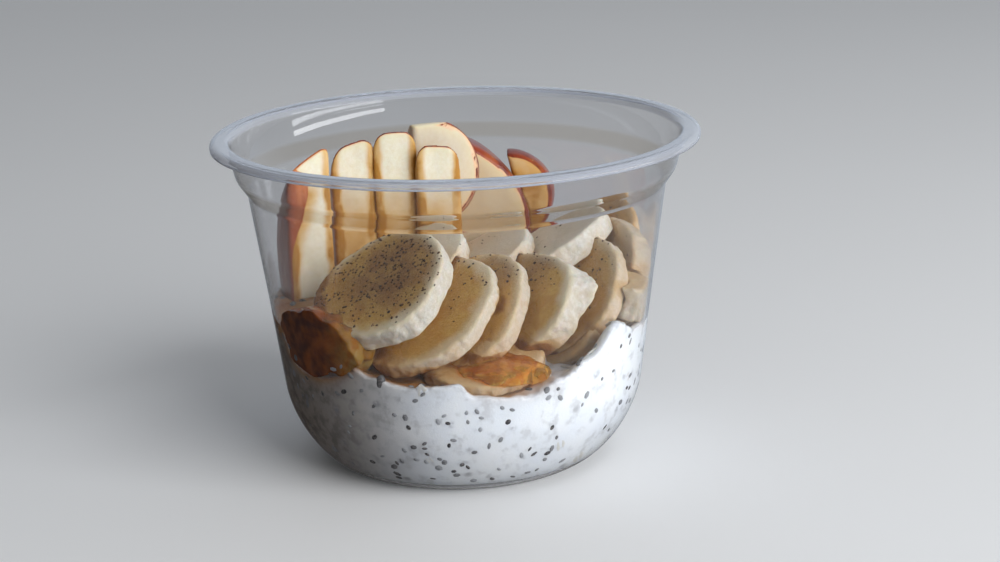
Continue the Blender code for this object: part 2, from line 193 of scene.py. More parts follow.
# Seeds, flakes and specks
WALL_SEEDS, TOP_SEEDS = 320, 110
SEED_SIZES = [0.8, 1.0, 1.2, 1.5, 1.9]
WALL_VEILS = [0.0, 0.1, 0.25, 0.45, 0.6, 0.75, 0.85]   # how much yogurt lies over a seed, 0 to 1
TOP_VEILS = [0.0, 0.1, 0.3, 0.5]
SEEDS_APART = 1.3
SEEDS_CROWDED = 0.9            # how unevenly the seeds crowd, from 0 to 1
CROWD_SIZE = 6.0               # size of the seeds' denser patches
WALL_FLAKES, TOP_FLAKES = 34, 46
FLAKES_APART = 8.0
FLAKES_FROM = -12.0            # further left, where the mix is painted dark with shade, none are placed
FLAKE_RADII = (2.9, 2.1, 0.32)
SPECK_SIZES = (0.17, 0.38)

# Camera, fitted to the pot's rim, step and base in the photo
CAMERA_PLACE = (0.0, -0.450, 0.17087)
CAMERA_YAW, CAMERA_PITCH, CAMERA_ROLL = 0.0216, 0.2786, -0.0293
CAMERA_FOCAL = 1893.4          # in pixels of a picture 1000 wide
PICTURE_WIDTH = 1000.0
SENSOR = 36.0

# Light: a large soft key at the front right, two bright window panes, and the dim room round them
KEY = dict(azimuth=-45.0, elevation=27.0, distance=1.1, size=(0.90, 0.60), radiance=7.0)
PANES = [dict(azimuth=-21.0, elevation=elevation, distance=1.1, size=(1.25, height), radiance=4.6)
         for elevation, height in ((8.5, 0.058), (2.4, 0.075))]
LIGHT_TINT = (0.97, 0.985, 1.0)
WALL_BEHIND = (0.22, 0.92, 0.32)   # direction of the pale wall
ROOM_RIGHT = (0.90, -0.30, 0.30)   # direction of the room's brighter side
FLOOR_HALF = 1500.0


# Noise

TABLE_SIZE = 32
TABLES = [np.random.default_rng(seed).uniform(-1, 1, (TABLE_SIZE,) * 3) for seed in range(4)]
SEED_SHIFT = 7.31              # moves each seed's cells away from the others'


def noise(points, scale, seed):
    """Smooth noise from -1 to 1 at points (n, 3); scale is the size of its lumps."""
    places = points / scale + SEED_SHIFT * seed
    cell = np.floor(places).astype(int)
    part = places - cell
    part = part * part * (3 - 2 * part)
    total = np.zeros(len(points))
    for corner in range(8):
        bits = np.array([corner & 1, corner >> 1 & 1, corner >> 2 & 1])
        share = np.prod(np.where(bits, part, 1 - part), axis=1)
        i, j, k = ((cell + bits) % TABLE_SIZE).T
        total += share * TABLES[seed][i, j, k]
    return total


def lumps(points, *layers):
    """Sum of noises, each an amount, the size of its lumps and its seed."""
    return sum(amount * noise(points, scale, seed) for amount, scale, seed in layers)


# Fields of the pieces: distance in millimetres, negative inside

FAR = 6.0                      # distances aren't worked out further than this


def turned(heading, tilt_axis, tilt):
    """Rotation matrix: a lean about a local axis, then a heading about Z."""
    about_z = Matrix.Rotation(math.radians(heading), 3, "Z")
    return np.array(about_z @ Matrix.Rotation(math.radians(tilt), 3, tilt_axis))


def smooth_step(low, high, value):
    """0 up to low and 1 from high on, or the other way round where low is the larger."""
    share = np.clip((value - low) / (high - low), 0, 1)
    return share * share * (3 - 2 * share)


def smooth_max(a, b, width):
    mix = np.clip(0.5 + 0.5 * (a - b) / width, 0, 1)
    return b + mix * (a - b) + width * mix * (1 - mix)


def rounded_corner(a, b, radius):
    """Inside both a and b, with the edge between them rounded."""
    over_a, over_b = np.maximum(a + radius, 0), np.maximum(b + radius, 0)
    return np.hypot(over_a, over_b) + np.minimum(np.maximum(a, b) + radius, 0) - radius


class Piece:
    """A piece with its own frame. Each kind has a field, and corners low and high round it."""

    def __init__(self, name, centre, turn):
        self.name = name
        self.centre = np.array(centre)
        self.turn = turn

    def world(self, local):
        return self.centre + local @ self.turn.T

    def at(self, points):
        """The plain field at world points; far away it is only known to be large."""
        local = (points - self.centre) @ self.turn
        near = np.all((local > self.low - 1) & (local < self.high + 1), axis=1)
        value = np.full(len(points), FAR)
        if near.any():
            value[near] = np.minimum(self.field(local[near]), FAR)
        return value

    def matrix(self):
        matrix = Matrix(self.turn.tolist()).to_4x4()
        matrix.translation = Vector(self.centre) * MM
        return matrix


class Slice(Piece):
    """A banana slice in its own frame: X down the slope, Z the cut face's normal."""

    def __init__(self, name, centre, tilt, heading, radii, thick):
        super().__init__(name, centre, turned(heading, "Y", tilt))
        self.look = PLAIN_BANANA | BANANA_LOOK[name]
        self.radii = radii
        self.half = thick / 2
        rng = random.Random(name)
        self.phases = [rng.uniform(0, math.tau) for _ in range(3)]
        reach = max(self.radii) * 1.22 + 1.2
        self.low = np.array([-reach, -reach, -self.half - 1.6])
        self.high = -self.low

    def parts(self, local):
        """Share of the radius, angle round the slice and height over its middle plane."""
        x, y = local[:, 0] / self.radii[0], local[:, 1] / self.radii[1]
        angle = np.arctan2(y, x)
        wave = 1 + 0.022 * np.cos(3 * angle + self.phases[0]) + 0.014 * np.cos(5 * angle + self.phases[1])
        if self.name == TORN:
            from_tip = np.abs(angle - TORN_ANGLE) / TORN_REACH
            below = np.clip(0.5 - local[:, 2] / (2 * self.half), 0, 1)
            wave += np.clip(1 - from_tip, 0, 1) * below * (TORN_LIP + lumps(local, (0.035, 1.1, 2)))
        share = np.hypot(x, y) / wave
        height = local[:, 2] - 0.2 * np.cos(2 * angle + self.phases[2]) * np.minimum(share, 1)
        return share, angle, height

    def field(self, local, detail=False):
        share, angle, height = self.parts(local)
        mean = 0.5 * (self.radii[0] + self.radii[1])
        out = (share - 1) * mean
        up = np.abs(height) - self.half
        if detail:
            round_it = np.stack([np.cos(angle) * mean, np.sin(angle) * mean, height * 0.5], axis=1)
            out += lumps(round_it, (0.30, 1.5, 1)) + lumps(local, (0.50, 5.2, 2), (0.20, 1.2, 3))
            up += lumps(local, (0.12, 4.0, 0), (0.05, 1.0, 1)) + RIM_FALL * np.minimum(share, 1.1) ** 5
            if self.name == BROKEN:
                strings = local * [1, 3.2, 0.2]
                up += lumps(strings, (0.45, 3.0, 2))
                out += lumps(strings, (0.4, 3.4, 1))
        return rounded_corner(out, up, BANANA_EDGE)


class Slab(Piece):
    """An apple slice in its apple's frame: X across the slab, Y towards the skin, Z along it."""

    def __init__(self, name, top, ball, heading, offset, core, thick):
        turn = turned(heading, "X", APPLE_LEAN.get(name, 0))
        height = math.sqrt(ball ** 2 - core ** 2 - offset ** 2)
        super().__init__(name, np.array(top) - turn @ np.array([offset, core, height]), turn)
        self.look = PLAIN_APPLE | APPLE_LOOK.get(name, {})
        self.ball, self.offset, self.core = ball, offset, core
        self.half, self.crown = thick / 2 + APPLE_SWELL, APPLE_CROWN[name]
        self.low = np.array([offset - self.half - 1.2, core - 1.2, -height - 2.0])
        self.high = np.array([offset + self.half + 1.2, ball + 1.2, height + 2.0])

    def side(self, local):
        """Share of the way from the slice's middle plane to its flat sides."""
        return np.abs(local[:, 0] - self.offset) / self.half

    def over_skin(self, local, detail=False):
        """Height over the skin, which rounds down to both flat sides."""
        beyond = np.clip(self.side(local) * self.half - (self.half - self.crown), 0, self.crown)
        drop = self.crown - np.sqrt(self.crown ** 2 - beyond ** 2)
        over = np.linalg.norm(local, axis=1) - self.ball + drop
        if detail:
            over += lumps(local, (0.25, 9.0, 1))
        return over

    def skin_depth(self, local):
        """Depth under the nearest red skin."""
        depth = -self.over_skin(local, detail=True)
        if self.name == CHEEK:
            depth = np.minimum(depth, local[:, 0] - self.offset + self.half)
        if self.name == BARE:
            depth += 0.7 * SKIN
        return depth

    def field(self, local, detail=False):
        across = (self.side(local) - 1) * self.half
        inward = self.core - local[:, 1]
        if detail:
            across += lumps(local * [1, 1, 0.5], (0.16, 5.0, 0)) + lumps(local, (0.05, 1.3, 1))
            inward += lumps(local * [1, 1, 0.4], (0.22, 4.2, 2)) + lumps(local, (0.06, 1.2, 3))
        flat = rounded_corner(across, inward, APPLE_SIDE)
        return rounded_corner(flat, self.over_skin(local, detail), APPLE_EDGE)


class Pool(Piece):
    """A blob of syrup."""

    def __init__(self, name, centre, radii):
        super().__init__(name, centre, np.eye(3))
        self.radii = np.array(radii)
        self.high = self.radii * 1.15 + 1.5
        self.low = -self.high

    def field(self, local, detail=False):
        unit = local / self.radii
        length = np.linalg.norm(unit, axis=1) + 1e-9
        wave = 1 + lumps(unit / length[:, None], (0.10, 0.6, 1))
        if detail:
            wave += lumps(local, (0.13, 4.0, 2), (0.06, 1.8, 0))
        slope = np.linalg.norm(unit / self.radii, axis=1) + 1e-9
        return (length - wave) * length / slope


# Pot outline

def corner_arc():
    """The pot's lower corner: a rational curve from the wall down to the foot ring."""
    t = np.arange(CORNER_STEPS + 1)[:, None] / CORNER_STEPS
    weights = ((1 - t) ** 2, 2 * CORNER_WEIGHT * t * (1 - t), t * t)
    places = np.array([WALL_BOTTOM, CORNER_CONTROL, (FOOT_RADIUS, 0.0)])
    return sum(weight * place for weight, place in zip(weights, places)) / sum(weights)


def filleted(points, radius):
    """The same line with its corners rounded, each by no more than half of its shorter leg."""
    result = [points[0]]
    for before, here, after in zip(points[:-2], points[1:-1], points[2:]):
        back, ahead = Vector(before) - Vector(here), Vector(after) - Vector(here)
        reach = min(radius, 0.45 * back.length, 0.45 * ahead.length)
        start, end = Vector(here) + back.normalized() * reach, Vector(here) + ahead.normalized() * reach
        for step in range(FILLET_STEPS + 1):
            t = step / FILLET_STEPS
            point = start * (1 - t) ** 2 + Vector(here) * 2 * t * (1 - t) + end * t * t
            result.append(tuple(point))
    return result + [points[-1]]


def pot_middle():
    """Middle of the sheet from the base's centre out and up to the skirt's lower edge."""
    half = SHEET / 2
    base = [(0.0, BASE_HEIGHT), (BASE_RADIUS - 1.5, BASE_HEIGHT), (BASE_RADIUS - 0.2, BASE_HEIGHT - 0.5),
            (BASE_RADIUS + 0.6, half + 0.5), (BASE_RADIUS + 1.2, half)]
    corner = [(radius - half, max(height, half)) for radius, height in corner_arc()[::-1].tolist()]
    collar = []
    for step in range(COLLAR_STEPS + 1):
        share = step / COLLAR_STEPS
        radius, height = (low + share * (high - low) for low, high in zip(COLLAR_BOTTOM, COLLAR_TOP))
        collar.append((radius - half + COLLAR_BOW * 4 * share * (1 - share), height))
    upper = [(WALL_MIDDLE[0] - half, WALL_MIDDLE[1]), (STEP_BOTTOM[0] - half, STEP_BOTTOM[1] - 0.6),
             (STEP_BOTTOM[0], STEP_BOTTOM[1]), (COLLAR_BOTTOM[0] - 0.7, COLLAR_BOTTOM[1] - 0.8), *collar,
             (COLLAR_TOP[0] + 0.3, POT_HEIGHT - half), (RIM_RADIUS - 1.2, POT_HEIGHT - half),
             (RIM_RADIUS - half, POT_HEIGHT - 1.0), (RIM_RADIUS - half, POT_HEIGHT - SKIRT_DROP)]
    return filleted(base, BASE_FILLET) + corner + filleted([corner[-1]] + upper, WALL_FILLET)[1:]


def sheet_sides(middle, thickness):
    """Inner and outer lines of a sheet, each half its thickness from the middle."""
    line = np.array(middle)
    line = line[np.r_[True, np.linalg.norm(np.diff(line, axis=0), axis=1) > 1e-4]]
    along = np.gradient(line, axis=0)
    along /= np.linalg.norm(along, axis=1)[:, None]
    normal = np.stack([along[:, 1], -along[:, 0]], axis=1)
    inner, outer = line - normal * thickness / 2, line + normal * thickness / 2
    inner[0, 0] = outer[0, 0] = 0.0
    return inner, outer


POT_INNER, POT_OUTER = sheet_sides(pot_middle(), SHEET)
WALL_PART = POT_INNER[(POT_INNER[:, 0] > FOOT_RADIUS) & (POT_INNER[:, 1] < COLLAR_TOP[1])]
WALL_PART = WALL_PART[np.argsort(WALL_PART[:, 1])]


def wall_radius(height):
    """Radius of the pot's inner face."""
    return np.interp(height, WALL_PART[:, 1], WALL_PART[:, 0])


def in_pot(points, allowance):
    """Field of the space inside the pot, allowance less at its wall."""
    return np.hypot(points[:, 0], points[:, 1]) - wall_radius(points[:, 2]) + allowance


# Meshes

def net(field, low, step):
    """Closed quad mesh at the zero level of a sampled field, negative inside."""
    inside = field < 0
    size = [count - 1 for count in field.shape]
    corners = list(itertools.product((0, 1), repeat=3))
    count = np.zeros(size, dtype=np.int8)
    for i, j, k in corners:
        count += inside[i:i + size[0], j:j + size[1], k:k + size[2]]
    mixed = (count > 0) & (count < 8)
    cells = np.argwhere(mixed)
    total = np.zeros((len(cells), 3))
    hits = np.zeros(len(cells))
    for corner, axis in itertools.product(corners, range(3)):
        if corner[axis]:
            continue
        start = cells + corner
        end = start.copy()
        end[:, axis] += 1
        first, second = field[tuple(start.T)], field[tuple(end.T)]
        cross = (first < 0) != (second < 0)
        point = start[cross].astype(float)
        point[:, axis] += first[cross] / (first[cross] - second[cross])
        total[cross] += point
        hits[cross] += 1
    vertices = low + step * total / hits[:, None]
    index = np.full(size, -1)
    index[mixed] = np.arange(len(cells))
    faces = []
    for axis in range(3):
        window = [slice(1, -1)] * 3
        window[axis] = slice(0, -1)
        ahead = list(window)
        ahead[axis] = slice(1, None)
        first, second = inside[tuple(window)], inside[tuple(ahead)]
        places = np.argwhere(first != second)
        starts_inside = first[tuple(places.T)]
        side, other = np.eye(3, dtype=int)[[(axis + 1) % 3, (axis + 2) % 3]]
        places += side + other
        ring = [places - side - other, places - other, places, places - side]
        quads = np.stack([index[tuple(place.T)] for place in ring], axis=1)
        quads[~starts_inside] = quads[~starts_inside][:, ::-1]
        faces.append(quads)
    return vertices, np.concatenate(faces)


def largest_island(vertices, faces):
    """Only the biggest connected part of a mesh."""
    label = np.arange(len(vertices))
    while True:
        lowest = label[faces].min(axis=1)
        new = label.copy()
        for corner in range(faces.shape[1]):
            np.minimum.at(new, faces[:, corner], lowest)
        new = new[new]
        if (new == label).all():
            break
        label = new
    names, sizes = np.unique(label, return_counts=True)
    keep = label == names[sizes.argmax()]
    renumber = np.cumsum(keep) - 1
    return vertices[keep], renumber[faces[keep[faces[:, 0]]]]


def grid(low, high, step):
    """Even places from one corner of a block to the other, and how many there are each way."""
    counts = np.ceil((high - low) / step).astype(int) + 1
    axes = [low[axis] + step * np.arange(counts[axis]) for axis in range(3)]
    return np.stack(np.meshgrid(*axes, indexing="ij"), axis=-1).reshape(-1, 3), counts


def sampled(piece, step, from_wall, others, gap):
    """Mesh of a piece in its own frame, cut where it meets the pot's wall or comes near the others."""
    local, counts = grid(piece.low, piece.high, step)
    field = piece.field(local)
    close = field < 1.6
    points = piece.world(local[close])
    room = np.maximum(in_pot(points, from_wall), gap - distance_to(points, others))
    field[close] = np.maximum(piece.field(local[close], detail=True), room)
    field = field.reshape(counts)
    for axis in range(3):
        edge = [slice(None)] * 3
        for end in (0, -1):
            edge[axis] = end
            field[tuple(edge)] = np.maximum(field[tuple(edge)], 0.5)
    return largest_island(*net(field, piece.low, step))


def new_object(name, vertices, faces, matrix=None, smooth=True):
    """Object from vertices in millimetres."""
    mesh = bpy.data.meshes.new(name)
    faces = faces if isinstance(faces, list) else faces.tolist()
    mesh.from_pydata((np.asarray(vertices) * MM).tolist(), [], faces)
    if smooth:
        mesh.shade_smooth()
    item = bpy.data.objects.new(name, mesh)
    if matrix is not None:
        item.matrix_world = matrix
    bpy.context.scene.collection.objects.link(item)
    return item


def finish_piece(item, material, slot, *nodes, **attributes):
    """Material and nodes of a piece, and what its material reads at each vertex. The slot is not used."""
    for name, values in attributes.items():
        values = np.asarray(values, dtype=np.float32)
        if values.ndim == 0:
            values = np.full(len(item.data.vertices), values)
        kind, key = ("FLOAT_VECTOR", "vector") if values.ndim == 2 else ("FLOAT", "value")
        item.data.attributes.new(name, kind, "POINT").data.foreach_set(key, values.ravel())
    item.data.materials.append(material)
    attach(item, "root")
    if nodes:
        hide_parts(*nodes)
    return item


# Materials

class Nodes:
    """Short hand for building a node tree."""

    def __init__(self, tree):
        self.tree = tree

    def put(self, socket, value):
        if isinstance(value, bpy.types.NodeSocket):
            self.tree.links.new(value, socket)
        elif isinstance(value, tuple) and len(value) == 3 and socket.type == "RGBA":
            socket.default_value = (*value, 1.0)
        else:
            socket.default_value = value

    def add(self, kind, inputs=None, output=0, **settings):
        """A new node with its settings and inputs, as the output that is asked for."""
        node = self.tree.nodes.new("ShaderNode" + kind)
        for name, value in settings.items():
            setattr(node, name, value)
        for key, value in (inputs or {}).items():
            self.put(node.inputs[key], value)
        return node.outputs[output]

    def attributes(self, *names):
        return [self.add("Attribute", output="Fac", attribute_name=name) for name in names]

    def maths(self, operation, a, b=0.0, clamp=False):
        return self.add("Math", {0: a, 1: b}, operation=operation, use_clamp=clamp)

    def times(self, a, b, clamp=False):
        return self.maths("MULTIPLY", a, b, clamp)

    def dot(self, a, b):
        return self.add("VectorMath", {0: a, 1: b}, "Value", operation="DOT_PRODUCT")

    def split(self, vector):
        return self.add("SeparateXYZ", {0: vector}).node.outputs

    def join(self, x, y, z):
        return self.add("CombineXYZ", {0: x, 1: y, 2: z})

    def ramp(self, value, low, high, to_low=0.0, to_high=1.0):
        inputs = dict(enumerate((value, low, high, to_low, to_high)))
        return self.add("MapRange", inputs, interpolation_type="SMOOTHSTEP")

    def noise(self, vector, scale, detail=3.0, rough=0.5):
        inputs = {"Vector": vector, "Scale": scale, "Detail": detail, "Roughness": rough}
        return self.add("TexNoise", inputs, "Fac")

    def spots(self, vector, scale):
        return self.add("TexVoronoi", {"Vector": vector, "Scale": scale}, "Distance")

    def mix(self, share, a, b):
        return self.add("Mix", {0: share, 6: a, 7: b}, 2, data_type="RGBA")

    def blend(self, value, low, high, a, b, most=1.0):
        """Colour a where the value is low, and the most of colour b where it is high."""
        return self.mix(self.ramp(value, low, high, 0.0, most), a, b)


class Shade(Nodes):
    """One material and its nodes."""

    def __init__(self, name):
        self.material = bpy.data.materials.new(name)
        self.material.use_nodes = True
        super().__init__(self.material.node_tree)
        self.surface = self.tree.nodes["Principled BSDF"]

    def set(self, **values):
        for name, value in values.items():
            self.put(self.surface.inputs[name.replace("_", " ")], value)

    def soften(self, weight, radius, scale):
        self.set(Subsurface_Weight=weight, Subsurface_Radius=radius, Subsurface_Scale=scale)

    def coat(self, weight, roughness):
        self.set(Coat_Weight=weight, Coat_Roughness=roughness)

    def bump(self, height, strength, distance):
        self.set(Normal=self.add("Bump", {"Height": height, "Strength": strength, "Distance": distance}))

    def let_lamps_through(self, tint):
        """Lamps shine through with a tint, so that what is behind is lit."""
        shadow = self.add("LightPath", output="Is Shadow Ray")
        clear = self.add("BsdfTransparent", {"Color": tint})
        both = self.add("MixShader", {0: shadow, 1: self.surface.outputs[0], 2: clear})
        self.put(self.tree.nodes["Material Output"].inputs["Surface"], both)

    def place(self):
        """Place on the piece in its own frame, in millimetres."""
        local = self.add("TexCoord", output="Object")
        return self.add("VectorMath", {0: local, "Scale": 1.0 / MM}, "Vector", operation="SCALE")

    def stored_place(self):
        """The stored place on the piece, as shares of its size."""
        return self.split(self.add("Attribute", output="Vector", attribute_name="place"))


def banana_material():
    shade = Shade("banana_flesh")
    place = shade.place()
    x, y, z = shade.stored_place()
    radius = shade.add("VectorMath", {0: shade.join(x, y, 0.0)}, "Value", operation="LENGTH")
    stain, dust, pale = shade.attributes("stain", "dust", "pale")
    cloud, fine, grain = shade.noise(place, 0.22), shade.noise(place, 1.3), shade.noise(place, 5.0, 2.0)
    uneven = shade.maths("ADD", radius, shade.times(shade.maths("SUBTRACT", cloud, 0.5), 0.30))
    core = shade.blend(fine, 0.35, 0.7, (0.60, 0.35, 0.080), (0.72, 0.46, 0.12))
    core = shade.blend(cloud, 0.45, 0.65, core, (0.56, 0.27, 0.045), 0.7)
    flesh = shade.blend(uneven, 0.74, 0.98, core, (0.84, 0.77, 0.57))
    # Paler face: partly the slice's own white tone, partly painted light on faces turned from the key
    flesh = shade.mix(shade.times(pale, 0.85), flesh, (0.92, 0.87, 0.74))
    seeds = shade.ramp(shade.spots(place, 0.34), 0.12, 0.30, 0.22, 0.0)
    seeds = shade.times(seeds, shade.ramp(radius, 0.36, 0.22))
    flesh = shade.mix(seeds, flesh, (0.26, 0.13, 0.05))
    side = shade.blend(fine, 0.35, 0.7, (0.73, 0.70, 0.61), (0.84, 0.82, 0.76))
    side = shade.blend(cloud, 0.50, 0.68, side, (0.66, 0.58, 0.40), 0.5)
    colour = shade.blend(shade.maths("ABSOLUTE", z), 0.55, 0.95, side, flesh)
    # How wet the flesh is and how much crevice shade is painted on it; the darkest amber stands for shade
    wet_and_shaded = shade.times(stain, shade.ramp(cloud, 0.2, 0.7, 0.75, 1.2), clamp=True)
    amber = shade.blend(wet_and_shaded, 0.7, 1.0, (0.64, 0.33, 0.055), (0.30, 0.11, 0.014))
    colour = shade.mix(wet_and_shaded, colour, amber)
    film = shade.times(dust, shade.ramp(cloud, 0.3, 0.6, 0.5, 0.85), clamp=True)
    colour = shade.mix(film, colour, (0.26, 0.12, 0.042))
    powder = shade.times(dust, shade.ramp(grain, 0.50, 0.64, 0.0, 0.7), clamp=True)
    colour = shade.mix(powder, colour, (0.10, 0.04, 0.013))
    shade.set(Base_Color=colour, Roughness=shade.ramp(wet_and_shaded, 0.1, 0.7, 0.6, 0.22))
    shade.soften(0.3, (1.0, 0.55, 0.28), 0.0012)
    shade.coat(shade.ramp(wet_and_shaded, 0.2, 0.8, 0.05, 0.4), 0.2)
    shade.bump(shade.maths("ADD", grain, shade.times(fine, 1.5)), 0.4, 0.0004)
    return shade.material


def apple_material():
    shade = Shade("apple_flesh_and_skin")
    place = shade.place()
    x, y, z = shade.stored_place()
    depth, stain, dull, blush = shade.attributes("depth", "stain", "dull", "blush")
    cloud, fine, grain = shade.noise(place, 0.14), shade.noise(place, 1.2), shade.noise(place, 4.5, 2.0)
    flesh = shade.blend(fine, 0.3, 0.7, (0.85, 0.79, 0.62), (0.89, 0.85, 0.71))
    flesh = shade.mix(dull, flesh, (0.50, 0.40, 0.28))
    flesh = shade.blend(depth, 3.0, 0.5, flesh, (0.86, 0.76, 0.46), 0.35)
    flesh = shade.blend(depth, SKIN + 0.5, SKIN, flesh, (0.85, 0.45, 0.25), 0.6)
    # Browning and syrup, with painted shade low down, along the narrow sides and near other pieces
    browned_and_shaded = shade.times(stain, shade.ramp(cloud, 0.25, 0.7, 0.75, 1.15), clamp=True)
    amber = shade.blend(browned_and_shaded, 0.8, 1.1, (0.66, 0.36, 0.07), (0.42, 0.18, 0.022))
    flesh = shade.mix(browned_and_shaded, flesh, amber)
    around = shade.times(shade.maths("ARCTAN2", x, y), 14.0)
    streak = shade.noise(shade.join(around, shade.times(z, 1.6), 0.0), 1.3)
    red = shade.blend(streak, 0.40, 0.62, (0.15, 0.016, 0.008), (0.29, 0.048, 0.014))
    red = shade.blend(cloud, 0.50, 0.66, red, (0.52, 0.17, 0.04), 0.30)
    dots = shade.ramp(shade.spots(place, 0.42), 0.07, 0.10, 0.5, 0.0)
    red = shade.mix(dots, red, (0.70, 0.50, 0.25))
    blushed = shade.times(blush, shade.ramp(streak, 0.35, 0.6, 1.0, 0.5))
    red = shade.mix(blushed, red, (0.74, 0.25, 0.08))
    skin = shade.ramp(depth, SKIN + 0.08, SKIN - 0.08)
    shade.set(Base_Color=shade.mix(skin, flesh, red), Roughness=shade.ramp(skin, 0.0, 1.0, 0.42, 0.28))
    shade.soften(0.4, (1.0, 0.7, 0.35), 0.0025)
    shade.coat(0.3, 0.15)
    shade.bump(shade.times(grain, shade.maths("SUBTRACT", 1.0, skin)), 0.25, 0.0003)
    return shade.material


def yogurt_material():
    shade = Shade("yogurt_with_oats")
    place = shade.place()
    stain, soaked = shade.attributes("stain", "soaked")
    cloud, grain = shade.noise(place, 0.09), shade.noise(place, 2.2)
    patch = shade.noise(place, 0.30, rough=0.6)
    base = shade.blend(cloud, 0.3, 0.7, (0.87, 0.91, 0.96), (0.92, 0.945, 0.97))
    base = shade.blend(patch, 0.52, 0.70, base, (0.52, 0.52, 0.53), 0.42)
    # Painted shade: brown over the left side of the mix and lower down
    shade_brown = shade.blend(patch, 0.40, 0.62, (0.26, 0.21, 0.17), (0.12, 0.085, 0.06))
    base = shade.mix(soaked, base, shade_brown)
    veiled = shade.ramp(shade.spots(place, 0.24), 0.05, 0.36, 0.50, 0.0)
    veiled = shade.times(veiled, shade.ramp(patch, 0.42, 0.56))
    # seeds under the yogurt show more where shade is painted
    veiled = shade.times(veiled, shade.maths("ADD", 1.0, soaked))
    base = shade.mix(veiled, base, (0.26, 0.26, 0.28))
    # Amber where syrup stains the mix, and painted shade next to the fruit
    amber = shade.blend(cloud, 0.35, 0.65, (0.46, 0.22, 0.05), (0.28, 0.11, 0.03))
    shade.set(Base_Color=shade.mix(stain, base, amber), Roughness=0.38)
    shade.soften(0.5, (1.0, 0.95, 0.85), 0.0015)
    shade.coat(0.3, 0.18)
    shade.bump(grain, 0.2, 0.0003)
    return shade.material


def veiled_material(name, scale, detail, spots, dark, light, veiled):
    """Spots of two colours, with the veiled colour where yogurt lies over them."""
    shade = Shade(name)
    veil = shade.attributes("veil")[0]
    spot = shade.noise(shade.place(), scale, detail)
    shade.set(Base_Color=shade.mix(veil, shade.blend(spot, *spots, dark, light), veiled), Roughness=0.4)
    shade.coat(0.2, 0.2)
    return shade, spot


def seed_material():
    dark, light, veiled = (0.035, 0.033, 0.036), (0.16, 0.145, 0.14), (0.42, 0.43, 0.45)
    return veiled_material("chia_seed", 2.4, 2.0, (0.45, 0.62), dark, light, veiled)[0].material


def flake_material():
    dark, light, veiled = (0.50, 0.47, 0.40), (0.66, 0.62, 0.54), (0.80, 0.80, 0.79)
    shade, spot = veiled_material("soaked_oat_flake", 0.9, 3.0, (0.35, 0.65), dark, light, veiled)
    shade.soften(0.3, (1.0, 0.8, 0.6), 0.001)
    shade.bump(spot, 0.3, 0.0003)
    return shade.material


def spice_material():
    shade = Shade("ground_spice")
    spot = shade.noise(shade.place(), 1.2, 2.0)
    shade.set(Base_Color=shade.blend(spot, 0.4, 0.6, (0.030, 0.014, 0.008), (0.13, 0.06, 0.025)))
    shade.set(Roughness=0.6)
    return shade.material


def syrup_material():
    shade = Shade("amber_syrup")
    deep = shade.attributes("deep")[0]
    spot, wave = shade.noise(shade.place(), 0.25, 2.0), shade.noise(shade.place(), 0.45)
    thin = shade.blend(wave, 0.40, 0.62, (0.68, 0.33, 0.020), (0.98, 0.70, 0.16))
    # Near black where deep: thicker syrup, and painted shade on the left pool
    thick = shade.blend(spot, 0.30, 0.75, (0.085, 0.014, 0.003), (0.34, 0.085, 0.010))
    shade.set(Base_Color=shade.mix(deep, thin, thick), Roughness=0.10, IOR=1.42,
              Specular_IOR_Level=shade.maths("SUBTRACT", 0.5, shade.times(deep, 0.25)),
              Transmission_Weight=shade.maths("SUBTRACT", 0.85, shade.times(deep, 0.75)))
    shade.bump(wave, 0.4, 0.0007)
    shade.let_lamps_through(shade.mix(deep, (0.88, 0.56, 0.16), (0.25, 0.08, 0.02)))
    return shade.material


def plastic_material():
    """Clear plastic, warmer at the step and milky at the lip, that lets lamps through to the food."""
    shade = Shade("clear_plastic_sheet")
    height = shade.split(shade.place())[2]
    start, full, fade, end = STEP_BAND
    step = shade.times(shade.ramp(height, start, full), shade.ramp(height, end, fade))
    lip = shade.ramp(height, *LIP_BAND)
    tint = shade.mix(step, (0.84, 0.845, 0.86), (0.73, 0.70, 0.66))
    shade.set(Base_Color=shade.mix(lip, tint, (0.72, 0.74, 0.79)), Roughness=0.02, IOR=1.5)
    shade.set(Transmission_Weight=shade.maths("SUBTRACT", 1.0, shade.times(lip, 0.18)))
    shade.let_lamps_through((0.97, 0.975, 0.98))
    return shade.material


def floor_material():
    shade = Shade("pale_floor")
    soft = shade.noise(shade.place(), 0.004, 2.0)
    shade.set(Base_Color=shade.mix(soft, (0.86, 0.86, 0.86), (0.89, 0.89, 0.89)), Roughness=0.7)
    return shade.material


# Pieces

def make_pot():
    outline = np.concatenate([POT_INNER, POT_OUTER[::-1]])
    outline = outline[outline[:, 0] > 1e-6]
    count = len(outline)
    angles = np.arange(POT_SEGMENTS) * math.tau / POT_SEGMENTS
    vertices = np.zeros((POT_SEGMENTS, count, 3))
    vertices[:, :, 0] = np.cos(angles)[:, None] * outline[:, 0]
    vertices[:, :, 1] = np.sin(angles)[:, None] * outline[:, 0]
    vertices[:, :, 2] = outline[:, 1]
    here = np.arange(POT_SEGMENTS)[:, None] * count + np.arange(count - 1)
    there = np.roll(here, -1, axis=0)
    faces = np.stack([here, here + 1, there + 1, there], axis=-1).reshape(-1, 4).tolist()
    poles = [[0, 0, POT_INNER[0, 1]], [0, 0, POT_OUTER[0, 1]]]
    vertices = np.concatenate([vertices.reshape(-1, 3), poles])
    inner_pole, outer_pole = len(vertices) - 2, len(vertices) - 1
    for first, after in zip(here[:, 0].tolist(), there[:, 0].tolist()):
        faces.append([inner_pole, first, after])
        faces.append([outer_pole, after + count - 1, first + count - 1])
    finish_piece(new_object("pot_shell", vertices, faces), plastic_material(), "clear_plastic", "pot")


